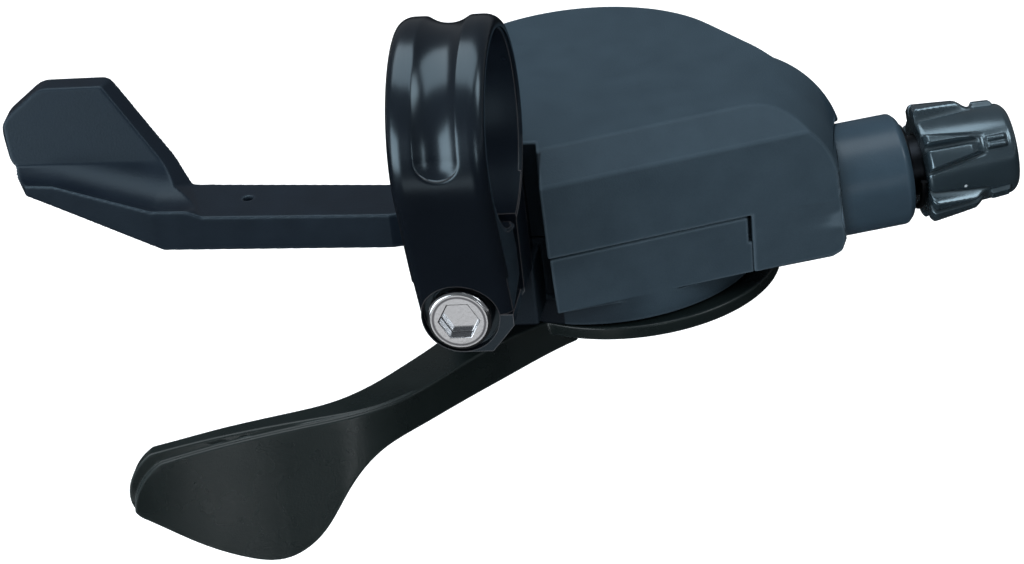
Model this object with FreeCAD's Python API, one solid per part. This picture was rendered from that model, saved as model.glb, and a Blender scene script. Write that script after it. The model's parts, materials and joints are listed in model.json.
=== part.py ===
import FreeCAD, Part
import math
import os

from FreeCAD import Vector

os.makedirs("parts", exist_ok=True)

# The handlebar runs along X through the origin, Y points ahead and Z up.
BAR_RADIUS = 11.15
BAND_RADIUS = 12.75
BAND_WIDTH = 11.0
BOLT_X = -0.65
BOLT_Z = -19.6
BOLT_RADIUS = 2.0
LUG_FRONT = -6.0
LUG_RIM = -7.2
LUG_RADIUS = 4.5
LUG_BACK = 7.0
FOOT_BACK = 12.9
FOOT_Z = -21.2
FOOT_SCREW_Y = 9.8

# Main pivot and the line of the cable, which leaves the body at a yaw.
PIVOT = Vector(10.5, 30.0, 0)
CABLE_YAW = 20.0
CABLE_OFFSET = -11.3
CABLE_Z = -21.9
COLLAR_RADIUS = 6.5
COLLAR_ROOT = 17.5
COLLAR_END = 33.1
COLLAR_CHAMFER = 0.7
COLLAR_GAP = 0.3

# Housing shells.
DRUM_CENTRE = Vector(8.6, 31.0, 0)
DRUM_RADIUS = 18.9
WALL = 1.6
TOP_Z = -8.3
PARTING_Z = -20.4
SHELL_BOTTOM = -28.6
FLOOR_Z = -27.8
FLOOR_UNDER = -29.4
SKIRT_RADIUS = 17.6
SKIRT_BOTTOM = -31.5
SEAM = 0.2
SHADOW_HEIGHT = 0.25
SHADOW_DEPTH = 0.4
STEP_START = 13.3
SLOT_WIDTH = 0.45
SLOT_DROP = 3.8
NEAR_LEFT = Vector(7.1, 7.4, 0)
NEAR_RIGHT = Vector(39.3, 20.6, 0)
SHOULDER_YAW = 4.0
SHOULDER_START = 18.2
SHOULDER_RADIUS = 10.0

# Stack on the main axle, from the cover down.
AXLE_RADIUS = 3.0
BUSH_RADIUS = 4.0
RUN_GAP = 0.04
HUB_TOP = -14.8
HOLD_TOP = -16.9
SPOOL_TOP = -19.2
SPOOL_BOTTOM = -23.8
DRIVE_BOTTOM = -26.2
CARRIER_TOP = -26.4
CARRIER_BOTTOM = -27.5
LEVER_TOP = -31.8
LEVER_BOTTOM = -34.3
FLANGE_RADIUS = 12.6
GROOVE_RADIUS = 10.7
TOOTH_RADIUS = 11.2
ROOT_RADIUS = 9.8
DRIVE_TEETH = 16

# Rim of the thumb paddle.
RIM_WIDTH = 1.1
RIM_STEP = 0.6

# Smaller pivots.
TRIGGER_PIVOT = Vector(-3.3, 20.6, 0)
TRIGGER_PIN_RADIUS = 1.4
HOLD_PIVOT = Vector(1.2, 19.2, 0)
HOLD_PIN_RADIUS = 0.95
DRIVE_ANGLE = 100.0
DRIVE_PIVOT_RADIUS = 14.2
DRIVE_PIN_RADIUS = 0.9
COVER_SCREWS = {"near": (13.0, -14.9), "far": (19.0, -4.6)}

# Adjuster, measured along the cable line.
SLEEVE_RADIUS = 3.5
SOCKET_RADIUS = 2.55
SOCKET_DEPTH = 7.0
KNOB_START = 34.9
KNOB_END = 45.9
KNOB_RIBS = 5
KNOB_TURN = -111.0

# Arm of the release trigger.
ARM_TOP = -17.0
ARM_BOTTOM = -21.3


def polar(radius, angle, z=0.0, centre=PIVOT):
    turn = math.radians(angle)
    return Vector(centre.x + radius * math.cos(turn), centre.y + radius * math.sin(turn), z)


def polar_yz(radius, angle, x=0.0):
    """Point round the bar, from +Y towards +Z."""
    turn = math.radians(angle)
    return Vector(x, radius * math.cos(turn), radius * math.sin(turn))


def along(a, s, z=0.0):
    """Point measured along and across the cable line from the main pivot."""
    turn = math.radians(CABLE_YAW)
    x = PIVOT.x + a * math.cos(turn) - s * math.sin(turn)
    y = PIVOT.y + a * math.sin(turn) + s * math.cos(turn)
    return Vector(x, y, z)


def rod(radius, bottom, top, at):
    return Part.makeCylinder(radius, top - bottom, Vector(at.x, at.y, bottom))


def tube(outer, inner, bottom, top, at):
    return rod(outer, bottom, top, at).cut(rod(inner, bottom - 1, top + 1, at))


def block(x0, x1, y0, y1, z0, z1):
    return Part.makeBox(x1 - x0, y1 - y0, z1 - z0, Vector(x0, y0, z0))


def plate(points, bottom, top):
    """Upright prism on a closed outline of corner points."""
    corners = [Vector(p[0], p[1], bottom) for p in points]
    face = Part.Face(Part.makePolygon(corners + corners[:1]))
    return face.extrude(Vector(0, 0, top - bottom))


def hexagon(across, bottom, top, at, turn=0.0):
    reach = across / math.sqrt(3)
    corners = [polar(reach, turn + 60 * k, 0, at) for k in range(6)]
    return plate(corners, bottom, top)


def rounded(corners, place):
    """Closed wire on corner points (u, v, radius), each corner rounded by its radius."""
    edges = []
    ends = []
    count = len(corners)
    for k, (u, v, radius) in enumerate(corners):
        here = place(u, v)
        before = place(*corners[k - 1][:2]) - here
        after = place(*corners[(k + 1) % count][:2]) - here
        if not radius:
            ends.append((here, here))
            continue
        half = before.getAngle(after) / 2
        before.normalize()
        after.normalize()
        run = radius / math.tan(half)
        middle = before + after
        middle.normalize()
        start = here + before * run
        end = here + after * run
        edges.append(Part.Arc(start, here + middle * (radius / math.sin(half) - radius), end).toShape())
        ends.append((start, end))
    for k in range(count):
        edges.append(Part.makeLine(ends[k - 1][1], ends[k][0]))
    return Part.Wire(Part.__sortEdges__(edges))


def curve(points):
    line = Part.BSplineCurve()
    line.interpolate([Vector(*p) for p in points])
    return line.toShape()


def coil(radius, wire, bottom, top, half_turns, at):
    """Coil spring of six-sided wire on Z, made of tilted half rings that meet end to end."""
    rise = (top - bottom - 2 * wire) / half_turns
    tilt = math.asin(rise / 2 / radius)
    ring = radius / math.cos(tilt)
    sides = [math.radians(60 * k) for k in range(7)]
    section = Part.Face(
        Part.makePolygon([Vector(ring + wire * math.sin(s), 0, wire * math.cos(s)) for s in sides])
    )
    pieces = []
    for k in range(half_turns):
        half = section.revolve(Vector(0, 0, 0), Vector(0, 0, 1), 180)
        half.rotate(Vector(0, 0, 0), Vector(0, 1, 0), math.degrees(tilt))
        half.rotate(Vector(0, 0, 0), Vector(0, 0, 1), 180 * k)
        half.translate(Vector(at.x, at.y, bottom + wire + rise * (k + 0.5)))
        pieces.append(half)
    return pieces[0].multiFuse(pieces[1:])


def on_cable(shape, start):
    """Moves a shape built up Z from the origin on to the cable line."""
    turn = FreeCAD.Rotation(Vector(0, 0, 1), along(1, 0) - along(0, 0))
    shape.Placement = FreeCAD.Placement(along(start, CABLE_OFFSET, CABLE_Z), turn)
    return shape


def cable_rod(radius, start, end):
    return on_cable(Part.makeCylinder(radius, end - start), start)


def fuse(*shapes):
    return shapes[0].multiFuse(list(shapes[1:])).removeSplitter()


def shell_outline():
    """Plan of the housing: drum, faceted near wall and short end wall."""
    waist = Vector(31.2, 34.4, 0)
    away = waist - DRUM_CENTRE
    swing = math.degrees(math.atan2(away.y, away.x) + math.acos(DRUM_RADIUS / away.Length))
    touch = polar(DRUM_RADIUS, swing, 0, DRUM_CENTRE)
    left = polar(DRUM_RADIUS, 149, 0, DRUM_CENTRE)
    corners = [
        left,
        Vector(left.x, 17.5, 0),
        Vector(-4.0, 13.4, 0),
        Vector(6.2, 13.4, 0),
        NEAR_LEFT,
        NEAR_RIGHT,
        Vector(39.9, 21.5, 0),
        Vector(38.8, 32.2, 0),
        waist,
        touch,
    ]
    round_end = Part.Arc(touch, polar(DRUM_RADIUS, 90, 0, DRUM_CENTRE), left).toShape()
    return Part.Wire([round_end] + Part.makePolygon(corners).Edges)


def end_profile(inset):
    """Prism across the body: flat top that rounds down to the end wall."""
    top = TOP_Z - inset
    radius = SHOULDER_RADIUS - inset
    turn = math.radians(45)
    start = Vector(SHOULDER_START, -60, top)
    bend = Vector(SHOULDER_START + radius * math.sin(turn), -60, top - radius * (1 - math.cos(turn)))
    end = Vector(SHOULDER_START + radius, -60, top - radius)
    low = SHELL_BOTTOM - 0.1
    heel = [Vector(end.x - x, -60, low + z) for x, z in ((0, 2.0), (0.6, 0.6), (2.0, 0))]
    corners = [end] + heel + [Vector(-45, -60, low), Vector(-45, -60, top), start]
    wire = Part.Wire([Part.Arc(start, bend, end).toShape()] + Part.makePolygon(corners).Edges)
    prism = Part.Face(wire).extrude(Vector(0, 120, 0))
    prism.Placement = FreeCAD.Placement(PIVOT, FreeCAD.Rotation(Vector(0, 0, 1), SHOULDER_YAW))
    return prism


def near_wedge(first, second, inset):
    """Prism outside a sloping plane along the near wall, given two (depth, height) lines on it."""
    run = NEAR_RIGHT - NEAR_LEFT
    run.normalize()
    inward = Vector(-run.y, run.x, 0)
    step = ((second[0] - first[0]) * 0.4, (second[1] - first[1]) * 0.4)
    low = (first[0] - step[0], first[1] - step[1])
    high = (second[0] + step[0], second[1] + step[1])
    deep = max(low, high)
    corner = (min(low, high)[0], deep[1])
    start = NEAR_LEFT - run * 20 + inward * inset
    corners = [start + inward * n + Vector(0, 0, z) for n, z in (low, high, corner)]
    return Part.Face(Part.makePolygon(corners + corners[:1])).extrude(run * 80)


def shell_envelope(inset):
    """Outside of both shells together, drawn in by an inset."""
    face = Part.Face(shell_outline())
    if inset:
        face = face.makeOffset2D(-inset)
    bottom = SHELL_BOTTOM - FLOOR_Z if inset == WALL else 0
    solid = face.extrude(Vector(0, 0, 30))
    solid.translate(Vector(0, 0, SHELL_BOTTOM - bottom))
    solid = solid.common(end_profile(inset))
    solid = solid.cut(near_wedge((0, -11.4), (3.8, TOP_Z), inset))
    return solid.cut(near_wedge((0, PARTING_Z), (2.0, SHELL_BOTTOM), inset))


def shell_cavity():
    side = FreeCAD.Rotation(Vector(0, 0, 1), CABLE_YAW)
    limit = block(-60, COLLAR_ROOT, -60, 60, FLOOR_Z, 0)
    limit.Placement = FreeCAD.Placement(PIVOT, side)
    return shell_envelope(WALL).common(limit)


def cover_region():
    """Space that belongs to the cover: above the parting line, lower at the near end."""
    upper = block(-60, 90, -60, 90, PARTING_Z, 0)
    lower = block(STEP_START, 40, -40, -16.6, SHELL_BOTTOM - 1, PARTING_Z)
    lower.Placement = FreeCAD.Placement(PIVOT, FreeCAD.Rotation(Vector(0, 0, 1), CABLE_YAW))
    return upper.fuse(lower)


def trigger_window():
    return block(-12, -3.0, 10, 23.4, ARM_BOTTOM - 0.15, ARM_TOP + 0.4)


def top_cover():
    ceiling = TOP_Z - WALL
    cover = shell_envelope(0).cut(shell_cavity()).common(cover_region())
    cover = cover.cut(cable_rod(COLLAR_RADIUS + COLLAR_GAP, COLLAR_ROOT - 0.1, COLLAR_END))
    cover = cover.cut(trigger_window())
    posts = [
        rod(4.8, HUB_TOP + 0.2, ceiling, PIVOT),
        rod(2.4, -12.2, ceiling, TRIGGER_PIVOT),
        rod(1.65, PARTING_Z, ceiling - 0.5, along(*COVER_SCREWS["near"])),
    ]
    cover = fuse(cover, *posts)
    cover = cover.cut(rod(AXLE_RADIUS, HUB_TOP, -10.4, PIVOT))
    cover = cover.cut(rod(TRIGGER_PIN_RADIUS, -12.5, -10.4, TRIGGER_PIVOT))
    for spot in COVER_SCREWS.values():
        cover = cover.cut(rod(0.9, PARTING_Z - 1, -14.5, along(*spot)))
    return cover


def shadow_line():
    """Shallow groove round the base just under the parting line."""
    strip = block(-60, 90, -60, 90, PARTING_Z - SHADOW_HEIGHT, PARTING_Z)
    return strip.common(shell_envelope(0)).cut(shell_envelope(SEAM + SHADOW_DEPTH))


def collar():
    length = COLLAR_END - COLLAR_ROOT - COLLAR_CHAMFER
    end = Part.makeCone(COLLAR_RADIUS, COLLAR_RADIUS - COLLAR_CHAMFER, COLLAR_CHAMFER, Vector(0, 0, length))
    return on_cable(Part.makeCylinder(COLLAR_RADIUS, length).fuse(end), COLLAR_ROOT)


def wall_slot():
    """Narrow open slot beside the step of the near wall."""
    slot = block(STEP_START - SLOT_WIDTH, STEP_START, -40, -14, PARTING_Z - SLOT_DROP, PARTING_Z)
    slot.Placement = FreeCAD.Placement(PIVOT, FreeCAD.Rotation(Vector(0, 0, 1), CABLE_YAW))
    return slot


def base_housing():
    base = shell_envelope(SEAM).cut(shell_cavity()).cut(cover_region())
    base = base.cut(shadow_line()).cut(wall_slot())
    near_screw = along(*COVER_SCREWS["near"])
    parts = [
        rod(SKIRT_RADIUS, SKIRT_BOTTOM, FLOOR_Z, PIVOT),
        collar(),
        block(-5.2, 5.2, 7.3, 14.5, SHELL_BOTTOM, FOOT_Z),
        rod(2.3, FLOOR_Z, ARM_BOTTOM - 0.15, TRIGGER_PIVOT),
        rod(1.65, SHELL_BOTTOM, PARTING_Z, near_screw),
        rod(1.8, FLOOR_Z, FLOOR_Z + 0.8, HOLD_PIVOT),
    ]
    base = fuse(base, *parts)
    base = base.cut(rod(16.0, SKIRT_BOTTOM - 1, FLOOR_UNDER, PIVOT))
    base = base.cut(rod(8.05, SKIRT_BOTTOM - 1, -20, PIVOT))
    base = base.cut(trigger_window())
    base = base.cut(rod(TRIGGER_PIN_RADIUS, FLOOR_Z, -20, TRIGGER_PIVOT))
    base = base.cut(rod(1.2, FLOOR_Z - 0.6, -20, HOLD_PIVOT))
    for spot in COVER_SCREWS.values():
        base = base.cut(rod(1.0, SHELL_BOTTOM - 1, PARTING_Z + 6, along(*spot)))
        base = base.cut(rod(1.6, SHELL_BOTTOM - 1, SHELL_BOTTOM + 1.6, along(*spot)))
    screw = Vector(0, FOOT_SCREW_Y, 0)
    base = base.cut(rod(1.6, SHELL_BOTTOM - 1, -20, screw))
    base = base.cut(rod(2.9, SHELL_BOTTOM - 1, SHELL_BOTTOM + 2.0, screw))
    base = base.cut(cable_rod(1.2, 10, 40))
    base = base.cut(cable_rod(SLEEVE_RADIUS + RUN_GAP, 24.5, 40))
    return base.cut(cable_rod(5.4, 30.1, 40))


def band_section(inside, angle):
    """Cross-section of the band in the radial plane at an angle, its edges turned down in three steps."""
    half = BAND_WIDTH / 2
    right = [(half - 0.4, inside), (half, inside + 0.4), (half, 11.75)]
    right += [(half - 0.2, 12.15), (half - 0.8, 12.57), (half - 1.7, BAND_RADIUS)]
    left = [(-x, r) for x, r in reversed(right)]
    corners = [polar_yz(r, angle, x) for x, r in right + left]
    return Part.Face(Part.makePolygon(corners + corners[:1]))


def band_ring():
    return band_section(BAR_RADIUS, 0).revolve(Vector(0, 0, 0), Vector(1, 0, 0), 360)


def lug_flare():
    """Straight run of the band's section, tangent to the ring, down to the rim of the bolt lug."""
    reach = math.hypot(LUG_RIM, BOLT_Z)
    bearing = 180 + math.degrees(math.atan2(-BOLT_Z, -LUG_RIM))
    touch = bearing - math.degrees(math.acos(BAND_RADIUS / reach))
    run = polar_yz(math.sqrt(reach ** 2 - BAND_RADIUS ** 2), touch + 90)
    return band_section(5.0, touch).extrude(run)


def band_groove():
    """Channel over the top of the ring with a round near end."""
    floor = BAND_RADIUS - 0.85
    sides = [(-1.7, floor), (1.7, floor), (2.9, BAND_RADIUS + 0.4), (-2.9, BAND_RADIUS + 0.4)]
    corners = [Vector(x, -r, 0) for x, r in sides]
    face = Part.Face(Part.makePolygon(corners + corners[:1]))
    channel = face.revolve(Vector(0, 0, 0), Vector(1, 0, 0), -150)
    end = Part.makeCone(1.7, 2.9, 1.25, Vector(0, -floor, 0), Vector(0, -1, 0))
    groove = channel.fuse(end)
    groove.rotate(Vector(0, 0, 0), Vector(1, 0, 0), -10)
    return groove


def clamp_band():
    half = BAND_WIDTH / 2
    across = Vector(0, 1, 0)
    low = BOLT_Z - LUG_RADIUS
    near_lug = lug_flare().common(block(-half, half, -20, -1, low, 0))
    near_lug = near_lug.fuse(block(-half, half, LUG_RIM, -1, low, BOLT_Z))
    far_lug = block(-half, half, 0, LUG_BACK, low, -6)
    taper = [(-half, -5), (half, -5), (half - 0.2, -21.0), (2.6, low), (BOLT_X, low)]
    taper += [(BOLT_X - LUG_RADIUS, BOLT_Z)]
    corners = [Vector(x, -20, z) for x, z in taper]
    sides = Part.Face(Part.makePolygon(corners + corners[:1])).extrude(Vector(0, 40, 0))
    lugs = near_lug.fuse(far_lug).common(sides)
    lug_end = Part.makeCylinder(LUG_RADIUS, LUG_BACK - LUG_RIM, Vector(BOLT_X, LUG_RIM, BOLT_Z), across)
    foot = block(-4.5, 4.5, 4.0, FOOT_BACK, FOOT_Z, -6)
    band = fuse(band_ring(), lugs, lug_end, foot)
    band = band.cut(band_groove())
    band = band.cut(Part.makeCylinder(BAR_RADIUS, 30, Vector(-15, 0, 0), Vector(1, 0, 0)))
    band = band.cut(Part.makeCylinder(4.4, 20, Vector(BOLT_X, LUG_FRONT - 20, BOLT_Z), across))
    band = band.cut(block(-10, 10, -1, 1, -40, -5))
    band = band.cut(Part.makeCylinder(BOLT_RADIUS + 0.15, 8, Vector(BOLT_X, -8, BOLT_Z), across))
    band = band.cut(Part.makeCylinder(BOLT_RADIUS, 10, Vector(BOLT_X, 0, BOLT_Z), across))
    return band.cut(rod(1.5, FOOT_Z - 1, -13.5, Vector(0, FOOT_SCREW_Y, 0)))


def socket_bolt(radius, head_radius, head, length, socket):
    """Socket-head bolt: head below Z zero, shank up to its length."""
    body = Part.makeCylinder(head_radius, head, Vector(0, 0, -head))
    rims = [e for e in body.Edges if len(e.Vertexes) == 1]
    body = body.makeChamfer(0.3, rims)
    shank = Part.makeCylinder(radius, length)
    shank = shank.makeChamfer(0.4, [e for e in shank.Edges if e.BoundBox.ZMin > length - 0.01])
    key = hexagon(socket, -head - 1, -head * 0.4, Vector(0, 0, 0))
    return fuse(body, shank).cut(key)


def clamp_bolt():
    bolt = socket_bolt(BOLT_RADIUS, 3.65, 2.4, 12.4, 4.0)
    turn = FreeCAD.Rotation(Vector(0, 0, 1), Vector(0, 1, 0))
    bolt.Placement = FreeCAD.Placement(Vector(BOLT_X, LUG_FRONT, BOLT_Z), turn)
    return bolt


def foot_screw():
    screw = socket_bolt(1.5, 2.75, 1.9, 12.2, 2.5)
    screw.translate(Vector(0, FOOT_SCREW_Y, SHELL_BOTTOM + 2.0))
    return screw


def cover_screw(name):
    screw = socket_bolt(0.9, 1.55, 1.3, 12.0, 1.3)
    screw.translate(along(*COVER_SCREWS[name], SHELL_BOTTOM + 1.6))
    return screw


def main_axle():
    return rod(AXLE_RADIUS, -38.2, -10.5, PIVOT)


def axle_nut():
    nut = hexagon(8.0, -37.2, -34.9, PIVOT, 15)
    return nut.cut(rod(AXLE_RADIUS, -40, -30, PIVOT))


def axle_washer():
    return tube(5.6, AXLE_RADIUS + 0.1, -34.9, LEVER_BOTTOM - 0.05, PIVOT)


def toothed_disc(teeth, bottom, top):
    """Saw-toothed ring: each tooth is a radial flank and a slope, teeth given by start and end."""
    points = []
    for start, end in teeth:
        points.append(polar(ROOT_RADIUS, start))
        points.append(polar(TOOTH_RADIUS, end))
        points.append(polar(ROOT_RADIUS, end + 0.8))
    return plate(points, bottom, top)


def holding_disc():
    """Round land with two index notches that pass the holding pawl as the spool winds."""
    disc = rod(TOOTH_RADIUS, SPOOL_TOP, HOLD_TOP, PIVOT)
    for angle in (237.0, 282.0):
        notch = [
            polar(TOOTH_RADIUS + 1, angle),
            polar(ROOT_RADIUS, angle),
            polar(TOOTH_RADIUS + 1, angle + 16),
        ]
        disc = disc.cut(plate(notch, SPOOL_TOP, HOLD_TOP + 1))
    return disc


def cable_spool():
    groove_top = SPOOL_TOP - 0.9
    groove_bottom = SPOOL_BOTTOM + 0.9
    middle = (groove_top + groove_bottom) / 2
    rim = [
        Vector(BUSH_RADIUS, 0, SPOOL_TOP),
        Vector(FLANGE_RADIUS, 0, SPOOL_TOP),
        Vector(FLANGE_RADIUS, 0, groove_top),
        Vector(GROOVE_RADIUS, 0, middle + 0.7),
        Vector(GROOVE_RADIUS, 0, middle - 0.7),
        Vector(FLANGE_RADIUS, 0, groove_bottom),
        Vector(FLANGE_RADIUS, 0, SPOOL_BOTTOM),
        Vector(BUSH_RADIUS, 0, SPOOL_BOTTOM),
    ]
    drum = Part.Face(Part.makePolygon(rim + rim[:1])).revolve(Vector(0, 0, 0), Vector(0, 0, 1), 360)
    drum.translate(PIVOT)
    pitch = 360.0 / DRIVE_TEETH
    teeth = [(k * pitch, (k + 1) * pitch - 0.8) for k in range(DRIVE_TEETH)]
    driven = toothed_disc(teeth, DRIVE_BOTTOM, SPOOL_BOTTOM)
    hub = rod(5.0, HOLD_TOP, HUB_TOP, PIVOT)
    hook = rod(0.7, HOLD_TOP, -13.2, polar(6.3, 330))
    spool = fuse(drum, driven, holding_disc(), hub, hook)
    return spool.cut(rod(BUSH_RADIUS, -40, 0, PIVOT))


def spool_bush():
    return tube(BUSH_RADIUS, AXLE_RADIUS + RUN_GAP, DRIVE_BOTTOM, HUB_TOP, PIVOT)


def thrust_washer():
    return tube(6.2, AXLE_RADIUS + 0.1, CARRIER_TOP, DRIVE_BOTTOM - 0.05, PIVOT)


def spool_return_spring():
    """Flat spiral strip made of half turns, hooked inwards at its inner end."""
    strip = 0.45
    pitch = 1.3
    pieces = []
    radius = 7.2
    centre = 0.0
    side = 1
    for _ in range(6):
        middle = Vector(PIVOT.x + centre, PIVOT.y, 0)
        half_disc = tube(radius + strip, radius, -16.4, -12.4, middle)
        keep = block(-40, 60, PIVOT.y, PIVOT.y + 40, -20, 0)
        if side < 0:
            keep = block(-40, 60, PIVOT.y - 40, PIVOT.y, -20, 0)
        pieces.append(half_disc.common(keep))
        centre += side * pitch / 2 * -1
        radius += pitch / 2
        side = -side
    return fuse(*pieces)


def leaning_sheet(there, back):
    """Sheet between a line out to the tip and a line back, carried down with the lean of the lever."""
    out_line = curve([(x, y, LEVER_TOP) for x, y in there])
    back_line = curve([(x, y, LEVER_TOP) for x, y in back])
    tip = Part.makeLine(out_line.Vertexes[1].Point, back_line.Vertexes[0].Point)
    root = Part.makeLine(back_line.Vertexes[1].Point, out_line.Vertexes[0].Point)
    plan = Part.Face(Part.Wire([out_line, tip, back_line, root]))
    return plan.extrude(Vector(0, -16 * math.tan(math.radians(14)), -16))


def lever_outline():
    """Outline of the arm and paddle seen from behind."""
    low = [(12.0, LEVER_BOTTOM), (6.0, -35.3), (0.0, -36.1), (-5.5, -35.9), (-11.1, -36.4)]
    low += [(-15.7, -40.3), (-19.3, -45.0), (-23.0, -46.7), (-27.6, -45.6)]
    low += [(-32.1, -43.0), (-37.3, -38.8)]
    bottom = curve([(x, -60, z) for x, z in low])
    shoulder = Vector(-36.6, -60, LEVER_TOP)
    end = Part.Arc(bottom.Vertexes[1].Point, Vector(-39.0, -60, -35.0), shoulder).toShape()
    top = Part.makePolygon([shoulder, Vector(12.0, -60, LEVER_TOP), Vector(12.0, -60, LEVER_BOTTOM)])
    return Part.Face(Part.Wire([bottom, end] + top.Edges)).extrude(Vector(0, 120, 0))


def rim_region():
    """Band along the top and round the end of the paddle, seen from behind."""
    shoulder = Vector(-36.6 + RIM_WIDTH, -60, LEVER_TOP - RIM_WIDTH)
    foot = Vector(-38.4, -60, -38.4)
    inner = Part.Arc(shoulder, Vector(-39.0 + RIM_WIDTH, -60, -35.0), foot).toShape()
    around = [(-43.0, -41.0), (-43.0, -28.0), (-8.0, -28.0), (-8.0, LEVER_TOP)]
    outer = Part.makePolygon([foot] + [Vector(x, -60, z) for x, z in around] + [shoulder])
    return Part.Face(Part.Wire([inner] + outer.Edges)).extrude(Vector(0, 120, 0))


def lever_blade():
    """Leaning arm and paddle, the paddle's face stepped back in a rim along its top and end."""
    near = [(8.0, 16.2), (1.4, 11.2), (-4.9, 2.7), (-9.7, -3.6), (-12.8, -5.8), (-20.4, -8.5)]
    near += [(-28.0, -11.1), (-35.5, -14.6), (-40.0, -17.4)]
    far = [(-40.0, -14.0), (-34.3, -11.3), (-29.6, -8.8), (-22.1, -5.6), (-17.8, -3.5)]
    far += [(-13.8, 0.3), (-11.0, 4.4), (-8.2, 9.0), (-3.0, 24.0)]
    ahead = [(x, y - 1) for x, y in near]
    stepped = [(x, y + RIM_STEP) for x, y in reversed(near)]
    rim = leaning_sheet(ahead, stepped).common(rim_region())
    return leaning_sheet(near, far).common(lever_outline()).cut(rim)


def thumb_lever():
    hub = rod(17.2, LEVER_BOTTOM + 0.9, LEVER_TOP, Vector(13.0, 29.3, 0))
    boss = rod(8.0, LEVER_BOTTOM, CARRIER_BOTTOM, PIVOT)
    neck = hexagon(10.0, CARRIER_BOTTOM, CARRIER_TOP - 0.05, PIVOT)
    lever = fuse(lever_blade(), hub, boss, neck)
    return lever.cut(rod(BUSH_RADIUS, -40, 0, PIVOT))


def lever_bush():
    return tube(BUSH_RADIUS, AXLE_RADIUS + RUN_GAP, LEVER_BOTTOM, CARRIER_TOP - 0.05, PIVOT)


def lever_return_spring():
    return coil(11.0, 0.5, LEVER_TOP + 0.1, FLOOR_UNDER - 0.1, 2, PIVOT)


def pawl_carrier():
    arm = [polar(r, DRIVE_ANGLE + swing) for r, swing in ((7.5, 35), (16.2, 7), (16.2, -7), (7.5, -35))]
    plate_top = CARRIER_TOP - 0.05
    carrier = fuse(rod(9.0, CARRIER_BOTTOM, plate_top, PIVOT), plate(arm, CARRIER_BOTTOM, plate_top))
    carrier = carrier.cut(hexagon(10.0, CARRIER_BOTTOM - 1, CARRIER_TOP + 1, PIVOT))
    return carrier.cut(rod(DRIVE_PIN_RADIUS, CARRIER_BOTTOM - 1, -20, polar(DRIVE_PIVOT_RADIUS, DRIVE_ANGLE)))


def drive_pawl():
    """Pawl that pushes a tooth of the spool clockwise."""
    pivot = polar(DRIVE_PIVOT_RADIUS, DRIVE_ANGLE)
    nose = 67.5
    body = [
        polar(15.6, DRIVE_ANGLE - 3),
        polar(12.6, DRIVE_ANGLE - 3),
        polar(10.6, nose + 0.9),
        polar(11.7, nose + 0.5),
        polar(13.6, nose + 5),
    ]
    pawl = fuse(plate(body, -26.3, -24.0), rod(1.55, -26.3, -24.0, pivot))
    return pawl.cut(rod(DRIVE_PIN_RADIUS + 0.03, -30, -20, pivot))


def drive_pawl_pin():
    return rod(DRIVE_PIN_RADIUS, CARRIER_BOTTOM, -23.9, polar(DRIVE_PIVOT_RADIUS, DRIVE_ANGLE))


def beyond(points, depth):
    """Slab on the side of a plane that its three points face."""
    normal = (points[1] - points[0]).cross(points[2] - points[0])
    slab = Part.makeBox(240, 240, depth, Vector(-120, -120, 0))
    slab.Placement = FreeCAD.Placement(points[0], FreeCAD.Rotation(Vector(0, 0, 1), normal))
    return slab


def trigger_arm():
    near = [(-39.4, 15.45), (-12.0, 13.8), (-7.4, 14.9), (-4.9, 18.8)]
    far = [(-4.2, 22.8), (-7.2, 22.5), (-13.4, 21.9), (-39.4, 24.3)]
    return plate(near + far, ARM_BOTTOM, ARM_TOP)


def paddle_section(x, front, ridge, hollow):
    """Section of the paddle across its length: leaning blade over a shelf with a scooped top."""
    foot = Vector(x, 22.9, -13.2)
    scoop = Part.Arc(foot, Vector(x, 20.4, hollow), Vector(x, front, ridge)).toShape()
    shelf = [(front, ridge), (front, ARM_BOTTOM), (21.5, ARM_BOTTOM)]
    blade = [(25.7, -14.0), (28.6, -3.0), (25.7, -3.0), (foot.y, foot.z)]
    return Part.Wire([scoop] + Part.makePolygon([Vector(x, y, z) for y, z in shelf + blade]).Edges)


def trigger_paddle():
    """Blade and shelf drawn through four sections, cut to the outline seen from behind."""
    sections = [
        paddle_section(-60.5, 17.9, -13.0, -13.3),
        paddle_section(-52.0, 17.0, -13.1, -14.1),
        paddle_section(-40.4, 15.5, -16.2, -15.9),
        paddle_section(-32.0, 15.0, -16.2, -15.9),
    ]
    paddle = Part.makeLoft(sections, True, True)
    outline = [(-54.2, -4.5, 3.0), (-59.6, -8.6, 3.0), (-58.0, -13.4, 3.0), (-39.4, ARM_BOTTOM, 0)]
    outline += [(-33.2, ARM_BOTTOM, 0), (-33.2, -17.4, 0), (-36.9, -16.0, 0), (-46.2, -4.5, 1.6)]
    wire = rounded(outline, lambda x, z: Vector(x, -10, z))
    paddle = paddle.common(Part.Face(wire).extrude(Vector(0, 60, 0)))
    end = [Vector(-55.4, 17.4, -10), Vector(-58.2, 23.0, -10), Vector(-55.4, 17.4, -12)]
    side = [Vector(-46.3, 25.2, -4.9), Vector(-38.8, 22.4, -15.0), Vector(-42.0, 26.75, -10.0)]
    step = [Vector(-38.2, 20.0, -15.7), Vector(-36.2, 15.5, -16.0), Vector(-33.6, 15.4, -17.4)]
    return paddle.cut(beyond(end, 10)).cut(beyond(side, 12).common(beyond(step, 20)))


def paddle_gusset():
    """Hollow corner between the top of the arm and the side of the blade."""
    corners = [(-39.7, -18.0, 0), (-34.4, -18.0, 0), (-34.4, ARM_TOP, 0), (-37.2, ARM_TOP, 1.8)]
    wire = rounded(corners + [(-39.7, -13.9, 0)], lambda x, z: Vector(x, 23.0, z))
    return Part.Face(wire).extrude(Vector(0, 0.9, 0))


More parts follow.
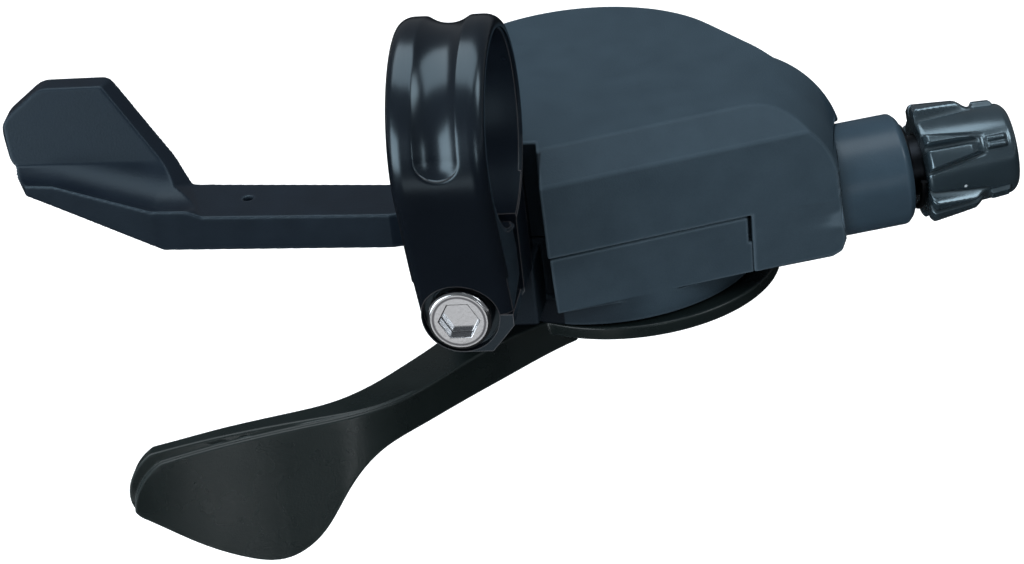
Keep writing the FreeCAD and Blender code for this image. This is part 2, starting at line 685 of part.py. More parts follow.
def release_trigger():
    level = (-18.9, -17.1)
    finger = [(-4.4, 18.6), (-2.2, 15.5), (4.9, 15.5), (4.9, 17.1)]
    finger += [(3.7, 17.1), (3.4, 16.3), (-1.0, 16.3), (-2.2, 19.4)]
    hub = rod(1.95, ARM_BOTTOM, ARM_TOP, TRIGGER_PIVOT)
    trigger = fuse(trigger_arm(), trigger_paddle(), paddle_gusset(), hub, plate(finger, *level))
    trigger = trigger.cut(rod(0.6, -30, 0, Vector(-29.65, 19.7, 0)))
    return trigger.cut(rod(TRIGGER_PIN_RADIUS + RUN_GAP, -30, 0, TRIGGER_PIVOT))


def trigger_pivot_pin():
    return rod(TRIGGER_PIN_RADIUS, FLOOR_Z, -10.5, TRIGGER_PIVOT)


def trigger_return_spring():
    return coil(2.0, 0.3, ARM_TOP + 0.1, -12.4, 8, TRIGGER_PIVOT)


def holding_pawl():
    """Pawl that rides on the land of the spool, with a tail for the trigger's finger."""
    bottom = -19.0
    top = -17.1
    nose = polar(TOOTH_RADIUS + 0.15, 192)
    back = polar(TOOTH_RADIUS + 1.6, 194)
    arm = [(1.9, 19.9), (nose.x, nose.y), (back.x, back.y), (-0.1, 20.5)]
    tail = [(1.2, 20.2), (4.4, 19.5), (4.5, 18.0), (1.2, 17.4)]
    pawl = fuse(rod(1.9, bottom, top, HOLD_PIVOT), plate(arm, bottom, top), plate(tail, bottom, top))
    return pawl.cut(rod(HOLD_PIN_RADIUS + 0.03, -30, 0, HOLD_PIVOT))


def holding_pawl_pin():
    foot = rod(1.2, FLOOR_Z - 0.6, -19.05, HOLD_PIVOT)
    return fuse(foot, rod(HOLD_PIN_RADIUS, -19.05, -14.2, HOLD_PIVOT))


def holding_pawl_spring():
    return coil(1.45, 0.25, -17.0, -14.6, 6, HOLD_PIVOT)


def drive_pawl_spring():
    """Leaf on the carrier's rim behind the drive pawl."""
    strip = tube(16.1, 15.85, CARRIER_TOP - 0.05, -24.2, PIVOT)
    wedge = [(PIVOT.x, PIVOT.y), polar(20, DRIVE_ANGLE + 6), polar(20, DRIVE_ANGLE - 16)]
    return strip.common(plate(wedge, -30, -20))


def adjuster_sleeve():
    start = 25.0
    length = KNOB_END - start
    body = Part.makeCylinder(SLEEVE_RADIUS, length)
    body = body.cut(Part.makeCylinder(SOCKET_RADIUS, 20, Vector(0, 0, length - SOCKET_DEPTH)))
    return on_cable(body.cut(Part.makeCylinder(1.2, 40, Vector(0, 0, -1))), start)


def knob_rib(profile, inner, outer):
    """Rib on the knob: a (radius, height) profile, its width tapering from the inner to the outer end."""
    low = min(z for r, z in profile)
    high = max(z for r, z in profile)
    sides = [Vector(r, -4, z) for r, z in profile]
    rib = Part.Face(Part.makePolygon(sides + sides[:1])).extrude(Vector(0, 8, 0))
    ends = [(-inner / 2, low), (inner / 2, low), (outer / 2, high), (-outer / 2, high)]
    plan = [Vector(0, y, z) for y, z in ends]
    return rib.common(Part.Face(Part.makePolygon(plan + plan[:1])).extrude(Vector(9, 0, 0)))


def adjuster_knob():
    """Tapered barrel with grooved ribs at its inner end and a small tab beyond each."""
    length = KNOB_END - KNOB_START
    core = [(SLEEVE_RADIUS, 0), (5.4, 0), (5.7, 0.5), (5.5, 7.0), (5.15, length - 0.7)]
    core += [(4.6, length), (SLEEVE_RADIUS, length)]
    corners = [Vector(r, 0, z) for r, z in core]
    body = Part.Face(Part.makePolygon(corners + corners[:1])).revolve(Vector(0, 0, 0), Vector(0, 0, 1), 360)
    rib = [(5.0, 0), (6.5, 0), (6.95, 0.6), (6.6, 5.3), (5.3, 7.4), (5.0, 7.4)]
    groove = [(6.0, -1), (7.5, -1), (7.5, 8), (6.0, 6.4)]
    tab = [(4.8, 8.0), (5.8, 8.2), (5.7, length - 0.9), (4.8, length - 0.6)]
    fin = knob_rib(rib, 4.4, 1.4).cut(knob_rib(groove, 0.7, 0.5))
    for k in range(KNOB_RIBS):
        for piece in (fin.copy(), knob_rib(tab, 1.3, 1.3)):
            piece.rotate(Vector(0, 0, 0), Vector(0, 0, 1), KNOB_TURN + 360 / KNOB_RIBS * k)
            body = body.fuse(piece)
    body = body.cut(Part.makeCylinder(SLEEVE_RADIUS + RUN_GAP, 40, Vector(0, 0, -1)))
    return on_cable(body, KNOB_START)


def adjuster_spring():
    return on_cable(coil(4.7, 0.4, 0, KNOB_START - 30.3, 5, Vector(0, 0, 0)), 30.2)


parts = {
    "clamp_band": clamp_band(),
    "clamp_bolt": clamp_bolt(),
    "foot_screw": foot_screw(),
    "base_housing": base_housing(),
    "top_cover": top_cover(),
    "cover_screw_near": cover_screw("near"),
    "cover_screw_far": cover_screw("far"),
    "main_axle": main_axle(),
    "axle_washer": axle_washer(),
    "axle_nut": axle_nut(),
    "cable_spool": cable_spool(),
    "spool_bush": spool_bush(),
    "thrust_washer": thrust_washer(),
    "spool_return_spring": spool_return_spring(),
    "thumb_lever": thumb_lever(),
    "lever_bush": lever_bush(),
    "lever_return_spring": lever_return_spring(),
    "pawl_carrier": pawl_carrier(),
    "drive_pawl": drive_pawl(),
    "drive_pawl_pin": drive_pawl_pin(),
    "drive_pawl_spring": drive_pawl_spring(),
    "release_trigger": release_trigger(),
    "trigger_pivot_pin": trigger_pivot_pin(),
    "trigger_return_spring": trigger_return_spring(),
    "holding_pawl": holding_pawl(),
    "holding_pawl_pin": holding_pawl_pin(),
    "holding_pawl_spring": holding_pawl_spring(),
    "adjuster_sleeve": adjuster_sleeve(),
    "adjuster_knob": adjuster_knob(),
    "adjuster_spring": adjuster_spring(),
}
for name, shape in parts.items():
    shape.exportStep(f"parts/{name}.step")
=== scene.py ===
import json
import math

import bpy
from mathutils import Matrix, Vector


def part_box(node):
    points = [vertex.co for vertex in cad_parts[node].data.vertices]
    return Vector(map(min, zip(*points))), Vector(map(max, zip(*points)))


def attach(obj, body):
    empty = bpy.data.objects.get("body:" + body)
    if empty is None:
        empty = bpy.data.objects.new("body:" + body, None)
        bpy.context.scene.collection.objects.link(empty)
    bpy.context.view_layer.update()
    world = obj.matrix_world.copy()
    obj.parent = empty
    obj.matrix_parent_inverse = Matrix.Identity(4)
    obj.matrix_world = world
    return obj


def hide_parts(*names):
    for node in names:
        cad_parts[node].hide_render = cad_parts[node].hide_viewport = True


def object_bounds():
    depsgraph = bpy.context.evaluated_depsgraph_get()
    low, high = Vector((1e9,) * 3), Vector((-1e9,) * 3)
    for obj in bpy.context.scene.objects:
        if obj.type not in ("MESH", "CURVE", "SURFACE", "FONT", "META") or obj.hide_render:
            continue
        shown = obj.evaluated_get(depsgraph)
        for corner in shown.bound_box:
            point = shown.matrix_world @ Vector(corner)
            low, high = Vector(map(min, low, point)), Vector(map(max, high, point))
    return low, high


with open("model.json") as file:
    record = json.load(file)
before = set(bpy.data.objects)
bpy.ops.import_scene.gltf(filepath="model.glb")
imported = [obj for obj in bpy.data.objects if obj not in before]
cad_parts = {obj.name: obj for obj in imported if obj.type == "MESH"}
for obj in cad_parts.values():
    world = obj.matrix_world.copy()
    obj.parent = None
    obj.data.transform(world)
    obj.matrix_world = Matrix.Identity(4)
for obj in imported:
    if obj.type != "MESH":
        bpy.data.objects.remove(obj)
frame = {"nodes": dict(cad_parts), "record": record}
cad_box = [list(corner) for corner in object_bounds()]

MM = 0.001

# Sizes that the added pieces share with the solids. Lengths in millimetres, angles in degrees.
BAND_RADIUS = 12.75
BAND_WIDTH = 11.0
BOLT_Z = -19.6
# Radius and width of the dark ring painted as shade round the bolt's head.
BOLT_LINE = 2.95
BOLT_LINE_WIDTH = 0.16
LUG_RIM = -7.2
EDGE_ROLL = 1.75
EDGE_DROP = 1.15
GROOVE_HALF = 2.5
GROOVE_DEPTH = 0.85
GROOVE_END = 170
BAND_SKIN = 0.05
BAND_SIDE_SKIN = 0.02
BAND_SIDE_DEPTHS = (1.5, 1.3)
BAND_WRAP = 227
STRAIGHT_RUN = 11.5
STRAIGHT_STEP = 0.5
PIVOT = (10.5, 30.0)
CABLE_YAW = 20.0
PIVOT_REACH = PIVOT[0] * math.cos(math.radians(CABLE_YAW)) + PIVOT[1] * math.sin(math.radians(CABLE_YAW))
CABLE_OFFSET = -11.3
CABLE_Z = -21.9
COLLAR_START = 24.5
KNOB_START = 34.9
KNOB_END = 45.9
KNOB_TURN = 144.0
KNOB_BORE = 3.54
KNOB_RIBS = 5

# Settings for merging and rounding edges. Lengths in millimetres, angles in degrees.
WELD_GAP = 0.002
FLAT_ANGLE = 0.5
CREASE_ANGLE = 28
SHELL_CREASE_ANGLE = 50

# Where the painted shade on the housing's foot behind the band and on its skirt ends, in millimetres.
FOOT_RIGHT = 7.2
FOOT_BACK = 14.4
FOOT_TOP = -8.5
SKIRT_TOP = -28.3
SKIRT_SHADE = (12.0, 19.0)
BORDER_BLUR = 0.2

# The small white dot on the knob, in metres.
WHITE_DOT = (0.05298, 0.02762, -0.02311)
WHITE_DOT_RADIUS = 0.00022
WHITE_DOT_EDGE = 0.0001

# The camera stands in front of the clamp, a little to the right and above.
# Angles in degrees, the distance in metres, the sensor in millimetres.
VIEW_AZIMUTH = 12.0
VIEW_ELEVATION = 25.0
VIEW_ROLL = 7.6
VIEW_DISTANCE = 0.65
PIXELS_PER_METRE = 9000.0
IMAGE_SIZE = (1024, 564)
BAR_PIXEL = (455, 130)
SENSOR_WIDTH = 36.0

# Bluish tint of the gloss, and the name of the knob's attribute that marks where painted shade darkens
# its crevices.
COOL_SHEEN = (0.68, 0.88, 1.0, 1)
CREVICE = "crevice"

# The stage, in metres: floor, the dark card above it, the point that the lamps face.
FLOOR_DROP = 0.16
FLOOR_REACH = 6.0
FLOOR_LIT_RADIUS = 0.7
FLAG_REACH = 3.0
FLAG_RISE = 0.01
PART_MIDDLE = (0.012, 0.015, -0.02)

# Strengths and colours of the light. The share is how far the floor's middle shows the light on it.
FLOOR_LIT_SHARE = 0.42
SURROUNDINGS_LIGHT = 0.18
SURROUNDINGS_TINT = (0.9, 0.95, 1.0, 1)
LAMP_BLUE = (0.88, 0.95, 1.0)
LAMP_COOL = (0.92, 0.97, 1.0)
LAMP_WHITE = (1.0, 1.0, 1.0)


class Value:
    """A number on a socket. Sums on it add Math nodes to the graph that it belongs to."""

    def __init__(self, graph, socket):
        self.graph = graph
        self.socket = socket

    def sum_node(self, operation, first, second=0.0):
        node = self.graph.node("ShaderNodeMath", {"operation": operation}, {0: first, 1: second})
        return Value(self.graph, node.outputs[0])

    def __add__(self, other):
        return self.sum_node("ADD", self, other)

    __radd__ = __add__

    def __sub__(self, other):
        return self.sum_node("SUBTRACT", self, other)

    def __rsub__(self, other):
        return self.sum_node("SUBTRACT", other, self)

    def __mul__(self, other):
        return self.sum_node("MULTIPLY", self, other)

    __rmul__ = __mul__

    def __truediv__(self, other):
        return self.sum_node("DIVIDE", self, other)

    def __rtruediv__(self, other):
        return self.sum_node("DIVIDE", other, self)

    def __pow__(self, other):
        return self.sum_node("POWER", self, other)

    def __abs__(self):
        return self.sum_node("ABSOLUTE", self)

    def sine(self):
        return self.sum_node("SINE", self)

    def cosine(self):
        return self.sum_node("COSINE", self)

    def fraction(self):
        return self.sum_node("FRACT", self)

    def clamp(self):
        node = self.graph.node("ShaderNodeClamp", {}, {"Value": self})
        return Value(self.graph, node.outputs[0])

    def ease(self):
        """Clamped to 0 and 1, with a soft start and a soft end."""
        part = self.clamp()
        return part * part * (3 - 2 * part)


class Graph:
    """A node tree."""

    def __init__(self, tree):
        self.tree = tree

    def node(self, kind, settings=None, sockets=None):
        """Adds any node: settings first, then the values or links of its sockets."""
        node = self.tree.nodes.new(kind)
        for name, value in (settings or {}).items():
            setattr(node, name, value)
        for name, value in (sockets or {}).items():
            self.feed(node.inputs[name], value)
        return node

    def feed(self, socket, value):
        if isinstance(value, Value):
            value = value.socket
        if isinstance(value, bpy.types.NodeSocket):
            self.tree.links.new(value, socket)
        else:
            socket.default_value = value

    def parts(self, vector):
        """The three numbers of a vector."""
        split = self.node("ShaderNodeSeparateXYZ", {}, {0: vector})
        return [Value(self, socket) for socket in split.outputs]


class Form(Graph):
    """A Geometry Nodes tree with named sizes in millimetres."""

    def __init__(self, name, *sizes):
        super().__init__(bpy.data.node_groups.new(name, "GeometryNodeTree"))
        face = self.tree.interface
        sockets = [face.new_socket(size, in_out="INPUT", socket_type="NodeSocketFloat") for size in sizes]
        face.new_socket("Geometry", in_out="OUTPUT", socket_type="NodeSocketGeometry")
        self.identifiers = {socket.name: socket.identifier for socket in sockets}
        entry = self.node("NodeGroupInput")
        self.sizes = {size: Value(self, entry.outputs[size]) for size in sizes}

    def sheet(self, columns, rows):
        """A grid and its two running numbers, each from 0 to 1."""
        sockets = {"Size X": 1.0, "Size Y": 1.0, "Vertices X": columns, "Vertices Y": rows}
        grid = self.node("GeometryNodeMeshGrid", {}, sockets)
        across, along = self.parts(self.node("GeometryNodeInputPosition").outputs[0])[:2]
        return grid.outputs[0], across + 0.5, along + 0.5

    def mark(self, grid, name, amount):
        """Keeps a number at each point of a grid, for its finish."""
        sockets = {"Geometry": grid, "Name": name, "Value": amount}
        return self.node("GeometryNodeStoreNamedAttribute", {}, sockets).outputs[0]

    def bend(self, grid, x, y, z):
        """Moves a grid's points to x, y and z and closes its seams."""
        spot = self.node("ShaderNodeCombineXYZ", {}, {0: x, 1: y, 2: z})
        moved = self.node("GeometryNodeSetPosition", {}, {"Geometry": grid, "Position": spot.outputs[0]})
        sockets = {"Geometry": moved.outputs[0], "Distance": WELD_GAP}
        return self.node("GeometryNodeMergeByDistance", {}, sockets).outputs[0]

    def close(self, shape, material):
        smooth = self.node("GeometryNodeSetShadeSmooth", {}, {"Geometry": shape})
        sockets = {"Geometry": smooth.outputs[0], "Material": material}
        painted = self.node("GeometryNodeSetMaterial", {}, sockets)
        self.node("NodeGroupOutput", {}, {"Geometry": painted.outputs[0]})

    def piece(self, name, place, **sizes):
        """A plain mesh of the form, put in its place."""
        holder = bpy.data.objects.new(name, bpy.data.meshes.new(name))
        bpy.context.collection.objects.link(holder)
        modifier = holder.modifiers.new("form", "NODES")
        modifier.node_group = self.tree
        for size, value in sizes.items():
            modifier[self.identifiers[size.replace("_", " ")]] = value
        shaped = holder.evaluated_get(bpy.context.evaluated_depsgraph_get())
        mesh = bpy.data.meshes.new_from_object(shaped)
        holder.modifiers.remove(modifier)
        holder.data = mesh
        mesh.transform(place @ Matrix.Scale(MM, 4))
        return holder


class Finish(Graph):
    """A procedural surface: constants on the shader, patterns from Object coordinates."""

    def __init__(self, name, **constants):
        self.material = bpy.data.materials.new(name)
        self.material.use_nodes = True
        super().__init__(self.material.node_tree)
        self.shader = self.tree.nodes["Principled BSDF"]
        for socket, value in constants.items():
            self.shader.inputs[socket.replace("_", " ")].default_value = value
        self.place = self.node("ShaderNodeTexCoord").outputs["Object"]

    def noise(self, scale, detail=2.0):
        sockets = {"Vector": self.place, "Scale": scale, "Detail": detail}
        return Value(self, self.node("ShaderNodeTexNoise", {}, sockets).outputs[0])

    def stretched_noise(self, scale, stretch):
        place = self.node("ShaderNodeMapping", {}, {"Vector": self.place, "Scale": stretch})
        sockets = {"Vector": place.outputs[0], "Scale": scale, "Detail": 3.0}
        return Value(self, self.node("ShaderNodeTexNoise", {}, sockets).outputs[0])

    def distance(self, spot):
        """How far a point of the surface is from a spot, in metres."""
        settings = {"operation": "DISTANCE"}
        node = self.node("ShaderNodeVectorMath", settings, {0: self.place, 1: spot})
        return Value(self, node.outputs["Value"])

    def blend(self, amount, low, high):
        node = self.node("ShaderNodeMix", {"data_type": "RGBA"}, {0: amount, 6: low, 7: high})
        return node.outputs[2]

    def edges(self, radius, gain=8):
        """Rises to 1 along edges. The radius is in millimetres; more gain shows flatter creases."""
        soft = self.node("ShaderNodeBevel", {"samples": 4}, {"Radius": radius * MM})
        plain = self.node("ShaderNodeNewGeometry")
        settings = {"operation": "DOT_PRODUCT"}
        sockets = {0: soft.outputs[0], 1: plain.outputs["Normal"]}
        turn = Value(self, self.node("ShaderNodeVectorMath", settings, sockets).outputs["Value"])
        return ((1 - turn) * gain).clamp()

    def marked(self, name):
        """A number that the piece's form keeps at its points."""
        return Value(self, self.node("ShaderNodeAttribute", {"attribute_name": name}).outputs["Fac"])

    def below(self, value, limit):
        """1 where a coordinate is below a limit in millimetres, 0 above it."""
        return ((limit * MM - value) / (BORDER_BLUR * MM)).clamp()

    def colour(self, socket):
        self.feed(self.shader.inputs["Base Color"], socket)

    def rough(self, value):
        self.feed(self.shader.inputs["Roughness"], value)

    def relief(self, height, depth, strength):
        sockets = {"Height": height, "Distance": depth, "Strength": strength}
        bump = self.node("ShaderNodeBump", {}, sockets)
        self.feed(self.shader.inputs["Normal"], bump.outputs[0])


def housing_plastic():
    """Fine-grained blue-grey moulding with edges painted paler, partly as wear and partly as a painted
    highlight along its creases; painted shade darkens the foot behind the band to near black and the
    skirt towards the left; a smoother collar.
    """
    finish = Finish("housing plastic", Specular_IOR_Level=0.08, Coat_Roughness=0.28, Coat_Tint=COOL_SHEEN)
    grain = finish.noise(5200)
    mottle = finish.noise(260, 3.0)
    amount = (mottle * 0.7 + grain * 0.3).clamp()
    plain = finish.blend(amount, (0.021, 0.034, 0.046, 1), (0.037, 0.057, 0.074, 1))
    # Edges painted paler: partly wear, partly a painted highlight along the flat creases.
    worn_and_highlit = finish.blend(finish.edges(0.4, 30) * 0.6, plain, (0.085, 0.118, 0.145, 1))
    finish.rough(0.46 + mottle * 0.16)
    x, y, z = finish.parts(finish.place)
    # Painted shade: the foot in the recess behind the band is darkened to near black, standing in for its
    # shadow.
    foot = finish.below(x, FOOT_RIGHT) * finish.below(y, FOOT_BACK) * finish.below(z, FOOT_TOP)
    near, far = SKIRT_SHADE
    # Painted shade: the skirt below the housing's lip is darker towards the left, where it lies in shade.
    skirt = finish.below(z, SKIRT_TOP) * ((far * MM - x) / ((far - near) * MM)).ease()
    # The painted shade of the foot and the skirt, blended over the plain colour.
    dark = (foot * 0.85 + skirt * 0.6).clamp()
    finish.colour(finish.blend(dark, worn_and_highlit, (0.003, 0.005, 0.008, 1)))
    yaw = math.radians(CABLE_YAW)
    reach = x * math.cos(yaw) + y * math.sin(yaw) - PIVOT_REACH * MM
    finish.feed(finish.shader.inputs["Coat Weight"], ((reach - COLLAR_START * MM) / MM).clamp() * 0.5)
    finish.relief(grain, 0.00005, 0.6)
    return finish.material


def band_gloss(name, wear_and_highlight):
    """Black paint with a soft gloss, paler along sharp edges by an amount from 0 to 1: partly worn paint,
    partly a painted edge highlight.
    """
    finish = Finish(name, Specular_IOR_Level=0.6, Specular_Tint=COOL_SHEEN)
    peel = finish.noise(700)
    haze = finish.noise(90)
    plain = finish.blend(haze, (0.002, 0.003, 0.005, 1), (0.004, 0.006, 0.010, 1))
    if wear_and_highlight:
        # Paler sharp edges: partly worn paint, partly a painted edge highlight.
        plain = finish.blend(finish.edges(0.2) * wear_and_highlight, plain, (0.10, 0.09, 0.09, 1))
    finish.colour(plain)
    finish.rough(0.2 + haze * 0.1)
    finish.relief(peel, 0.00002, 0.25)
    return finish.material


def bolt_chrome():
    """Polished plating with a dark ring painted round the head's face: painted shade and dark reflection
    where its rounded rim meets the flat face.
    """
    finish = Finish("bolt chrome", Metallic=1.0)
    stain = finish.noise(900, 3.0)
    plain = finish.blend(stain, (0.42, 0.43, 0.45, 1), (0.66, 0.67, 0.69, 1))
    x, _, z = finish.parts(finish.place)
    low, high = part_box("clamp_bolt")
    aside = x - (low[0] + high[0]) / 2
    height = z - (low[2] + high[2]) / 2
    reach = (aside * aside + height * height) ** 0.5
    # Painted shade: a dark ring where the head's rounded rim meets its face.
    line = (1.3 - abs(reach - BOLT_LINE * MM) / (BOLT_LINE_WIDTH * MM)).clamp()
    finish.colour(finish.blend(line * 0.85, plain, (0.06, 0.06, 0.07, 1)))
    finish.rough(0.12 + stain * 0.12)
    finish.relief(finish.noise(2600), 0.00002, 0.3)
    return finish.material


def lever_satin():
    """Dark green-black coating on the thumb lever, paler along its edges: partly wear, partly a painted
    edge highlight.
    """
    finish = Finish("lever satin", Specular_IOR_Level=0.3)
    grain = finish.noise(4200)
    mottle = finish.noise(180, 3.0)
    plain = finish.blend(mottle, (0.004, 0.007, 0.007, 1), (0.008, 0.012, 0.012, 1))
    # Paler edges: partly wear, partly a painted highlight.
    finish.colour(finish.blend(finish.edges(0.35) * 0.5, plain, (0.055, 0.068, 0.070, 1)))
    finish.rough(0.22 + mottle * 0.12)
    finish.relief(grain, 0.00003, 0.35)
    return finish.material


def trigger_satin():
    """Blue-black coating on the release trigger, paler along its edges: partly wear, partly a painted
    edge highlight.
    """
    finish = Finish("trigger satin", Specular_IOR_Level=0.28, Specular_Tint=COOL_SHEEN)
    grain = finish.noise(4200)
    mottle = finish.noise(200, 3.0)
    plain = finish.blend(mottle, (0.002, 0.004, 0.008, 1), (0.005, 0.009, 0.016, 1))
    # Paler edges: partly wear, partly a painted highlight.
    finish.colour(finish.blend(finish.edges(0.5) * 0.5, plain, (0.06, 0.085, 0.105, 1)))
    finish.rough(0.34 + mottle * 0.12)
    finish.relief(grain, 0.00003, 0.4)
    return finish.material


def knob_plastic():
    """Semi-gloss moulding with painted shade darkening its crevices, and a small white dot."""
    finish = Finish("knob plastic", IOR=1.65, Specular_IOR_Level=1.0, Specular_Tint=COOL_SHEEN)
    grain = finish.noise(3800)
    mottle = finish.noise(240, 3.0)
    plain = finish.blend(mottle, (0.011, 0.018, 0.023, 1), (0.019, 0.030, 0.038, 1))
    # Painted shade: the channel round each rib, the rib's groove and the tab's edge are darkened to near
    # black.
    crevice = finish.marked(CREVICE)
    shaded = finish.blend(crevice * 0.9, plain, (0.001, 0.002, 0.003, 1))
    dot = ((WHITE_DOT_RADIUS - finish.distance(WHITE_DOT)) / WHITE_DOT_EDGE).clamp()
    finish.colour(finish.blend(dot, shaded, (0.45, 0.50, 0.53, 1)))
    finish.rough(0.17 + mottle * 0.1 + crevice * 0.5)
    finish.relief(grain, 0.00003, 0.2)
    return finish.material


def bare_metal(name, dark, light, rough):
    """Turned or rolled metal with fine marks."""
    finish = Finish(name, Metallic=1.0)
    marks = finish.stretched_noise(900, (1.0, 1.0, 6.0))
    finish.colour(finish.blend(marks, (*dark, 1), (*light, 1)))
    finish.rough(rough + marks * 0.2)
    finish.relief(marks, 0.00002, 0.3)
    return finish.material


def spool_plastic():
    """Pale moulding of the spool."""
    finish = Finish("spool plastic", Specular_IOR_Level=0.4)
    grain = finish.noise(3000)
    mottle = finish.noise(150, 3.0)
    finish.colour(finish.blend(mottle, (0.50, 0.50, 0.46, 1), (0.62, 0.62, 0.58, 1)))
    finish.rough(0.42 + mottle * 0.12)
    finish.relief(grain, 0.00003, 0.3)
    return finish.material


def slot_finishes():
    """The finish of each material slot."""
    return {
        "housing_plastic": housing_plastic(),
        "band_black": band_gloss("band gloss black", 0.7),
        "bolt_chrome": bolt_chrome(),
        "lever_black": lever_satin(),
        "trigger_black": trigger_satin(),
        "knob_black": knob_plastic(),
        "steel": bare_metal("zinc steel", (0.45, 0.46, 0.48), (0.66, 0.67, 0.69), 0.25),
        "spring_steel": bare_metal("oiled spring steel", (0.03, 0.032, 0.036), (0.07, 0.073, 0.08), 0.25),
        "spool_plastic": spool_plastic(),
        "bush_brass": bare_metal("bush brass", (0.55, 0.40, 0.18), (0.78, 0.60, 0.32), 0.25),
        "sleeve_metal": bare_metal("sleeve black", (0.012, 0.014, 0.017), (0.025, 0.028, 0.033), 0.3),
    }


def dress_nodes(finishes):
    """Gives every solid the finish of its material slot."""
    for part in frame["record"]["subparts"]:
        node = frame["nodes"][part["node"]]
        node.material_slots[0].material = finishes[part["material_slot"]]


def soften(name, width, clamp=False):
    """Merges a solid's triangles and rounds its edges by a width in millimetres."""
    node = frame["nodes"][name]
    weld = node.modifiers.new("weld", "WELD")
    weld.merge_threshold = WELD_GAP * MM
    flat = node.modifiers.new("flat", "DECIMATE")
    flat.decimate_type = "DISSOLVE"
    flat.angle_limit = math.radians(FLAT_ANGLE)
    bevel = node.modifiers.new("bevel", "BEVEL")
    bevel.width = width * MM
    bevel.segments = 3
    bevel.limit_method = "ANGLE"
    bevel.angle_limit = math.radians(CREASE_ANGLE)
    bevel.use_clamp_overlap = clamp
    node.modifiers.new("even", "WEIGHTED_NORMAL")


def round_over(name, grain, passes):
    """Draws an even skin over a solid, its grain in millimetres, and smooths its edges and hollows."""
    node = frame["nodes"][name]
    skin = node.modifiers.new("skin", "REMESH")
    skin.mode = "VOXEL"
    skin.voxel_size = grain * MM
    skin.use_smooth_shade = True
    ease = node.modifiers.new("ease", "SMOOTH")
    ease.factor = 0.5
    ease.iterations = passes
    thin = node.modifiers.new("thin", "DECIMATE")
    thin.ratio = 0.5


def on_cable_line(start):
    """Puts a piece made up Z on the cable line, its Y upwards, from a distance along the line."""
    yaw = math.radians(CABLE_YAW)
    ahead = Vector((math.cos(yaw), math.sin(yaw), 0))
    level = Vector((-math.sin(yaw), math.cos(yaw), 0))
    spot = Vector((*PIVOT, CABLE_Z)) + ahead * start + level * CABLE_OFFSET
    turn = Matrix((level, ahead.cross(level), ahead)).transposed()
    return Matrix.Translation(spot * MM) @ turn.to_4x4()


def upright_at(x, y, z):
    return Matrix.Translation(Vector((x, y, z)) * MM)


def body_of(node):
    """The body that a solid moves with."""
    bodies = frame["record"]["behaviour"]["bodies"]
    return next(body for body, nodes in bodies.items() if node in nodes)


def coil_springs(finish):
    """Round-wire springs; the table gives node, place, coil radius, wire radius, height and turns."""
    form = Form("coil spring", "Radius", "Wire", "Height", "Turns")
    size = form.sizes
    line = form.node("GeometryNodeCurveSpiral", {}, {
        "Resolution": 40, "Rotations": size["Turns"], "Height": size["Height"],
        "Start Radius": size["Radius"], "End Radius": size["Radius"],
    })
    wire = form.node("GeometryNodeCurvePrimitiveCircle", {}, {"Resolution": 12, "Radius": size["Wire"]})
    swept = form.node("GeometryNodeCurveToMesh", {}, {
        "Curve": line.outputs[0], "Profile Curve": wire.outputs[0], "Fill Caps": True,
    })
    form.close(swept.outputs[0], finish)
    springs = (
        ("adjuster_spring", on_cable_line(30.6), 4.7, 0.4, 3.8, 2.5),
        ("trigger_return_spring", upright_at(-3.3, 20.6, -16.6), 2.0, 0.3, 3.9, 4.0),
        ("holding_pawl_spring", upright_at(1.2, 19.2, -16.75), 1.45, 0.25, 1.9, 3.0),
    )
    for node, place, radius, wire, height, turns in springs:
        spring = form.piece(node + "_coil", place, Radius=radius, Wire=wire, Height=height, Turns=turns)
        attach(spring, body_of(node))
        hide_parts(node)


